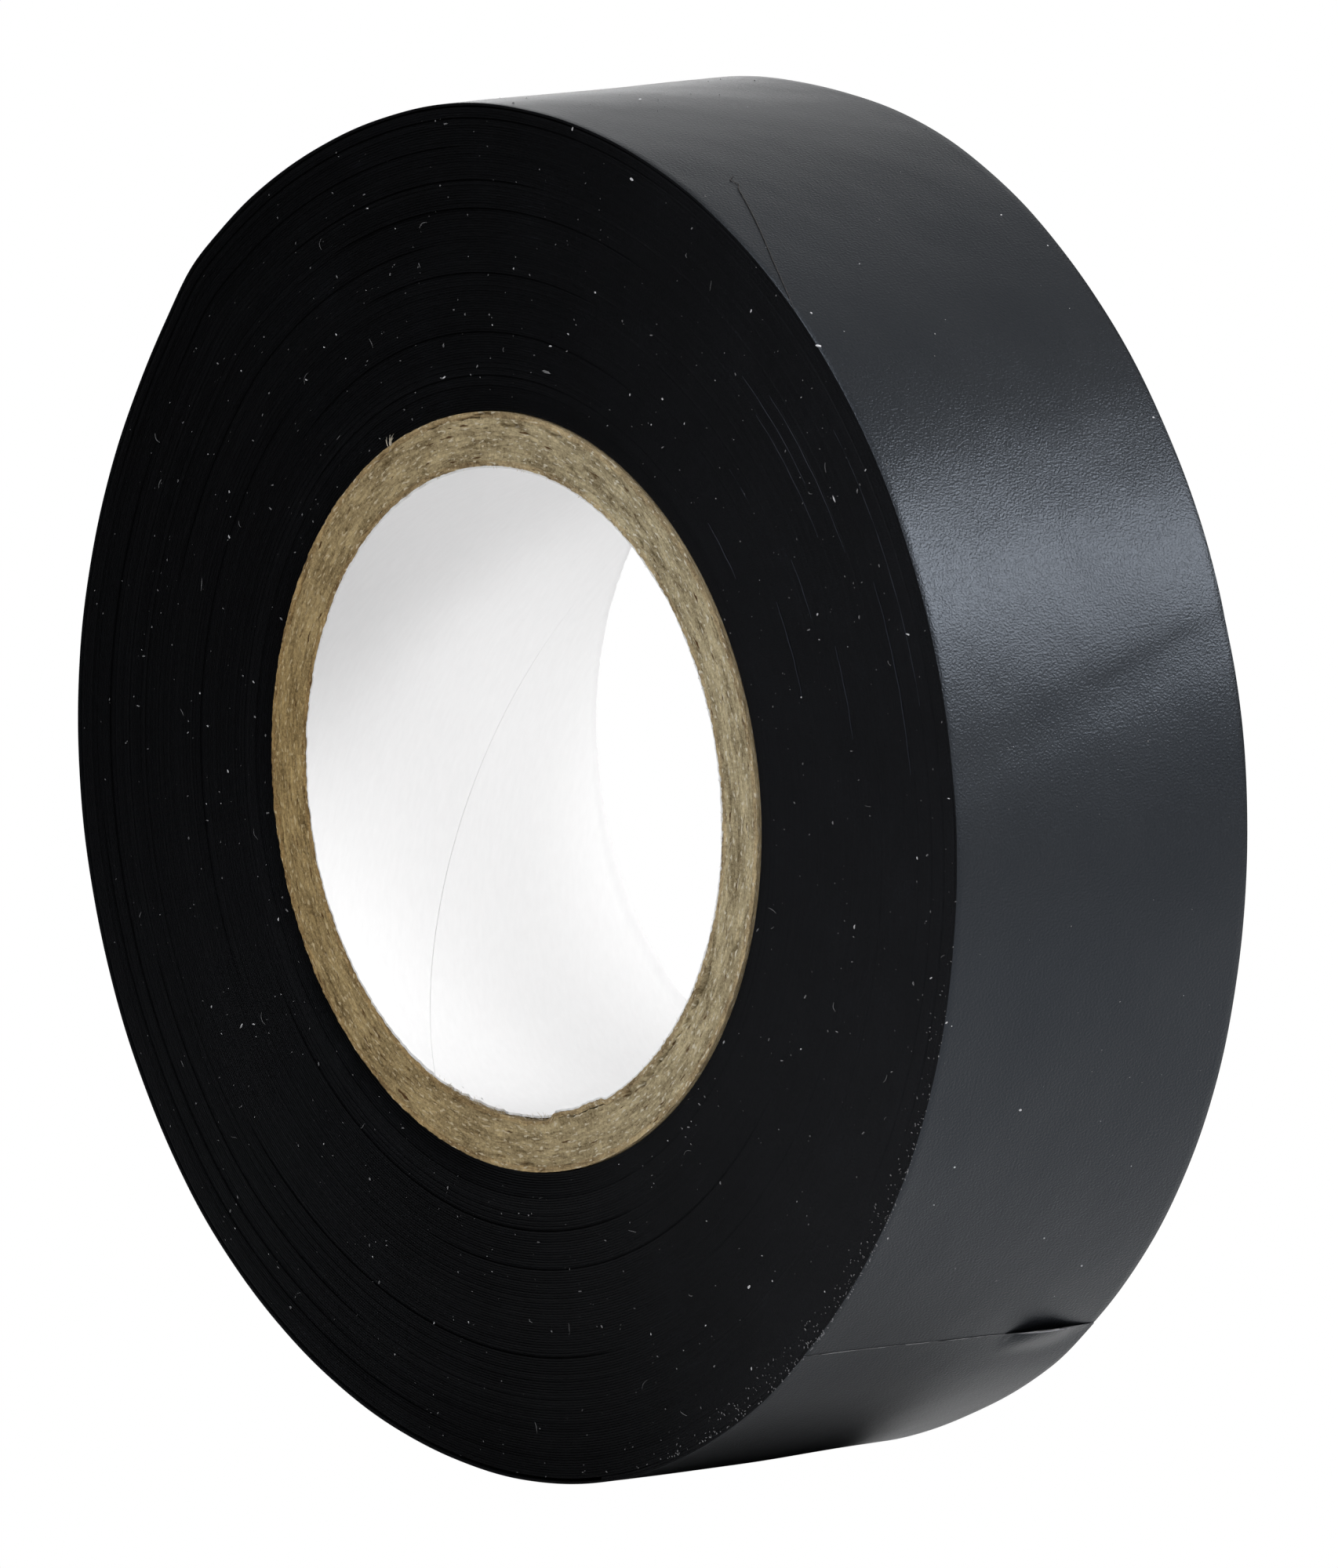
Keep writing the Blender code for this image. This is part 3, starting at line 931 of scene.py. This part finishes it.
def thread(path, thickness, sides=5):
    """Points and faces of a thin round thread along a path, in metres."""
    path = np.asarray(path)
    ahead = np.gradient(path, axis=0)
    ahead /= np.linalg.norm(ahead, axis=1, keepdims=True)
    side = np.cross(ahead, [0.31, 0.52, 0.79])
    side /= np.linalg.norm(side, axis=1, keepdims=True)
    other = np.cross(ahead, side)
    turn = np.linspace(0, 2 * math.pi, sides, endpoint=False)
    taper = np.sin(np.linspace(0.25, math.pi - 0.25, len(path)))[:, None, None] ** 0.5
    turn = turn[None, :, None]
    ring = side[:, None, :] * np.cos(turn) + other[:, None, :] * np.sin(turn)
    points = path[:, None, :] + ring * taper * thickness * MM / 2
    faces = []
    for i in range(len(path) - 1):
        for k in range(sides):
            a, b = i * sides + k, i * sides + (k + 1) % sides
            faces.append((a, b, b + sides, a + sides))
    faces.append(tuple(range(sides))[::-1])
    faces.append(tuple(range((len(path) - 1) * sides, len(path) * sides)))
    return points.reshape(-1, 3), faces


def smooth_path(places, count):
    """A curve through places, which are rows of numbers."""
    places = np.asarray(places, float)
    t = np.linspace(0, len(places) - 1, count)
    columns = [np.interp(t, np.arange(len(places)), column) for column in places.T]
    path = np.stack(columns, axis=1)
    for _ in range(3):
        path[1:-1] = (path[:-2] + 2 * path[1:-1] + path[2:]) / 4
    return path


def thread_set(name, paths, thicknesses, look):
    """One object of many threads, which rides on the roll."""
    points, faces, start = [], [], 0
    for path, thickness in zip(paths, thicknesses):
        some, these = thread(path, thickness)
        points.append(some)
        faces += [tuple(start + i for i in face) for face in these]
        start += len(some)
    obj = new_object(name, np.concatenate(points), faces, look, sharp=80.0)
    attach(obj, "roll")


def build_threads():
    """The hair on the rim, lint and slit burrs on the face, and paper fibres on the core."""
    random = np.random.default_rng(77)
    burrs = []
    for radius, first, last in BURRS:
        angle = np.linspace(first, last, 60)
        proud = 0.012 - 0.012 * np.sin(angle * 1.7)
        burrs.append(place(radius + 0.01 * np.sin(angle * 0.9), angle, -HALF_WIDTH - proud))
    thread_set("slit_burrs", burrs, [0.045] * len(burrs), burr_glint_look)
    path = smooth_path(HAIR, 70)
    hair = np.array([rim_point(angle, y, 0.02 + 0.03 * math.sin(0.9 * i) ** 2)[0]
                     for i, (angle, y) in enumerate(path)])
    thread_set("hair", [hair], [0.05], hair_look)

    lint, sizes = [], []
    for _ in range(LINT):
        radius, angle = random.uniform(CORE_RADIUS + 0.5, OUTER_RADIUS - 0.6), random.uniform(-180, 180)
        length, bend = random.uniform(0.2, 0.7), random.uniform(-0.8, 0.8)
        heading = random.uniform(0, 2 * math.pi)
        t = np.linspace(-0.5, 0.5, 9)
        along, aside = length * t, bend * length * (t ** 2 - 0.1)
        outwards = along * math.cos(heading) - aside * math.sin(heading)
        around = along * math.sin(heading) + aside * math.cos(heading)
        lint.append(place(radius + outwards, angle + np.degrees(around / radius),
                          -HALF_WIDTH - 0.05 - 0.04 * np.cos(t * math.pi)))
        sizes.append(random.uniform(0.02, 0.035))
    thread_set("lint", lint, sizes, dust_looks[0])

    fibres, sizes = [], []
    for _ in range(TORN_FIBRES):
        angle = random.uniform(TORN_FROM - 4, TORN_TO + 3)
        reach, lean = random.uniform(0.08, 0.42), random.uniform(-1.2, 1.2)
        t = np.linspace(0, 1, 6)
        fibres.append(place(BORE + 0.22 - reach * t, angle + lean * t ** 1.5,
                            -HALF_WIDTH + 0.12 - random.uniform(0.0, 0.25) * t ** 2))
        sizes.append(random.uniform(0.014, 0.030))
    for _ in range(BORE_FIBRES):
        angle, reach = random.uniform(-180, 180), random.uniform(0.05, 0.16)
        t = np.linspace(0, 1, 4)
        fibres.append(place(BORE + 0.08 - reach * t, angle + random.uniform(-0.6, 0.6) * t,
                            -HALF_WIDTH - 0.02 - 0.03 * t))
        sizes.append(random.uniform(0.014, 0.024))
    for _ in range(TUFT_FIBRES):
        angle, reach = 120.5 + random.normal(0, 0.25), random.uniform(0.2, 0.5)
        t = np.linspace(0, 1, 6)
        fibres.append(place(CORE_RADIUS - 0.05 + reach * t, angle - random.uniform(0.2, 1.3) * t ** 2,
                            -HALF_WIDTH - 0.04 - random.uniform(0.02, 0.12) * t))
        sizes.append(random.uniform(0.02, 0.035))
    thread_set("core_fibres", fibres, sizes, fibre_look)


build_last_turn()
build_free_end()
build_turns()
build_core()
build_dust()
build_threads()

# -------------------- floor, light and camera

FLOOR_REACH = 3.0  # metres each way
SHADE_BACK, SHADE_FRONT = 0.02, -0.1  # y in metres, at the ends of the painted shadow's ramp
SHADE_IN, SHADE_OUT = 0.008, 0.016  # x in metres, where the painted shadow fades out to the right


def white_to_camera(tree, surface, kind, output):
    """Shows plain white to the camera, and leaves the surface as it is for the light."""
    white = add(tree, kind, Color=WHITE)
    path = tree.nodes.new("ShaderNodeLightPath")
    chooser = tree.nodes.new("ShaderNodeMixShader")
    for socket, source in zip(chooser.inputs, (path.outputs["Is Camera Ray"], surface, white.outputs[0])):
        tree.links.new(source, socket)
    target = next(node for node in tree.nodes if node.type == output)
    tree.links.new(chooser.outputs[0], target.inputs["Surface"])


def make_floor():
    """A pale floor whose colour is painted darker with distance and to the left, and painted with the roll's
    shadow under it and in front of it, which the roll's underside and lower front mirror. The camera sees it
    as plain white."""
    mesh = bpy.data.meshes.new("floor")
    corners = ((-FLOOR_REACH, -FLOOR_REACH), (FLOOR_REACH, -FLOOR_REACH),
               (FLOOR_REACH, FLOOR_REACH), (-FLOOR_REACH, FLOOR_REACH))
    level = -(FLOOR_DROP + RIM_EXCESS) * MM
    mesh.from_pydata([(x, y, level) for x, y in corners], [], [(0, 1, 2, 3)])
    material, tree, shader = shader_for("floor_white", (0.88, 0.88, 0.88), 0.9, 0.1)
    where = tree.nodes.new("ShaderNodeTexCoord").outputs["Object"]
    far = add(tree, "ShaderNodeVectorMath", Vector=where)
    far.operation = "LENGTH"
    # Painted shade: the floor's colour darkens with distance and to the left.
    painted_falloff = multiply(tree, ramp(tree, far.outputs["Value"], [(0.14, 0.88), (0.30, 0.15)]),
                      ramp(tree, share_along(tree, where, "X", -0.15, -0.03), [(0.0, 0.08), (1.0, 1.0)]))
    # Painted shadow of the roll, under it and in front of it, which the roll's lower surfaces mirror.
    shade = ramp(tree, share_along(tree, where, "Y", SHADE_FRONT, SHADE_BACK),
                 [(0.15, 1.0), (0.40, 0.75), (0.72, 0.45), (0.80, 0.10), (0.888, 0.10), (0.90, 1.0)])
    shade = mix(tree, share_along(tree, where, "X", SHADE_IN, SHADE_OUT), shade, WHITE[:3])
    paint(tree, shader, multiply(tree, painted_falloff, shade))
    white_to_camera(tree, shader.outputs[0], "ShaderNodeEmission", "OUTPUT_MATERIAL")
    mesh.materials.append(material)
    floor = add_object("floor", mesh)


# Soft boxes: (name, direction from the roll, distance, size, brightness of the box's face).
LIGHTS = [
    ("window", (0.648, 0.631, 0.44), 0.7, (0.30, 0.20), 8.8),
    ("window_top", (0.58, 0.63, 0.53), 0.7, (0.18, 0.14), 8.0),
    ("window_glow", (0.60, 0.63, 0.52), 0.75, (0.8, 0.55), 0.45),
    ("low_glow", (0.80, 0.60, 0.06), 0.9, (0.6, 0.12), 1.9),
    ("overhead", (0.30, -0.10, 1.0), 0.65, (0.5, 0.5), 4.8),
    ("front_right", (0.35, -0.90, 0.30), 0.8, (0.6, 0.5), 1.9),
    ("front_left", (-0.6, -0.5, 0.62), 0.8, (0.5, 0.5), 0.6),
    ("back_top", (-0.05, 0.62, 0.78), 0.8, (0.5, 0.35), 0.5),
    ("back_left_top", (-0.45, 0.63, 0.63), 0.8, (0.4, 0.35), 0.42),
    ("back_panel", (-0.77, 0.62, 0.35), 0.9, (0.9, 0.45), 0.63),
    ("low_back_left", (-0.77, 0.63, 0.05), 0.9, (0.9, 0.12), 2.5),
    ("side_low", (0.95, 0.30, 0.12), 0.8, (0.3, 0.25), 0.9),
]
WORLD_STRENGTH = 0.01


def add_light(name, direction, distance, size, radiance):
    """A soft box, aimed at the roll from a direction, with the brightness of its face."""
    data = bpy.data.lights.new(name, "AREA")
    data.shape = "RECTANGLE"
    data.size, data.size_y = size
    data.energy = radiance * math.pi * size[0] * size[1]
    light = add_object(name, data)
    towards = Vector(direction).normalized()
    light.location = AXIS + towards * distance
    light.rotation_euler = (-towards).to_track_quat("-Z", "Y").to_euler()
    light.visible_camera = False


def make_world():
    world = bpy.data.worlds.new("studio")
    world.use_nodes = True
    tree = world.node_tree
    background = tree.nodes["Background"]
    background.inputs["Color"].default_value = WHITE
    background.inputs["Strength"].default_value = WORLD_STRENGTH
    white_to_camera(tree, background.outputs[0], "ShaderNodeBackground", "OUTPUT_WORLD")
    bpy.context.scene.world = world


CAMERA_AZIMUTH, CAMERA_ELEVATION = 50.33, 8.34
CAMERA_DISTANCE = 2.387
LENS = 1080.0
AIM_RIGHT, AIM_UP = 0.565, -0.47  # mm, from the roll's axis to the middle of the view


def make_camera():
    azimuth, elevation = math.radians(CAMERA_AZIMUTH), math.radians(CAMERA_ELEVATION)
    back = Vector((math.sin(azimuth) * math.cos(elevation), -math.cos(azimuth) * math.cos(elevation),
                   math.sin(elevation)))
    right = Vector((math.cos(azimuth), math.sin(azimuth), 0.0))
    up = back.cross(right)
    data = bpy.data.cameras.new("camera")
    data.sensor_width = 36.0
    data.lens = LENS
    data.clip_start, data.clip_end = 0.1, 20.0
    camera = add_object("camera", data)
    camera.rotation_mode = "QUATERNION"
    camera.location = AXIS + back * CAMERA_DISTANCE + (right * AIM_RIGHT + up * AIM_UP) * MM
    camera.rotation_quaternion = (-back).to_track_quat("-Z", "Y")
    bpy.context.scene.camera = camera


make_floor()
make_world()
for soft_box in LIGHTS:
    add_light(*soft_box)
make_camera()
bpy.context.scene.view_settings.view_transform = "Standard"
bpy.context.scene.view_settings.look = "None"

low, high = cad_bounds
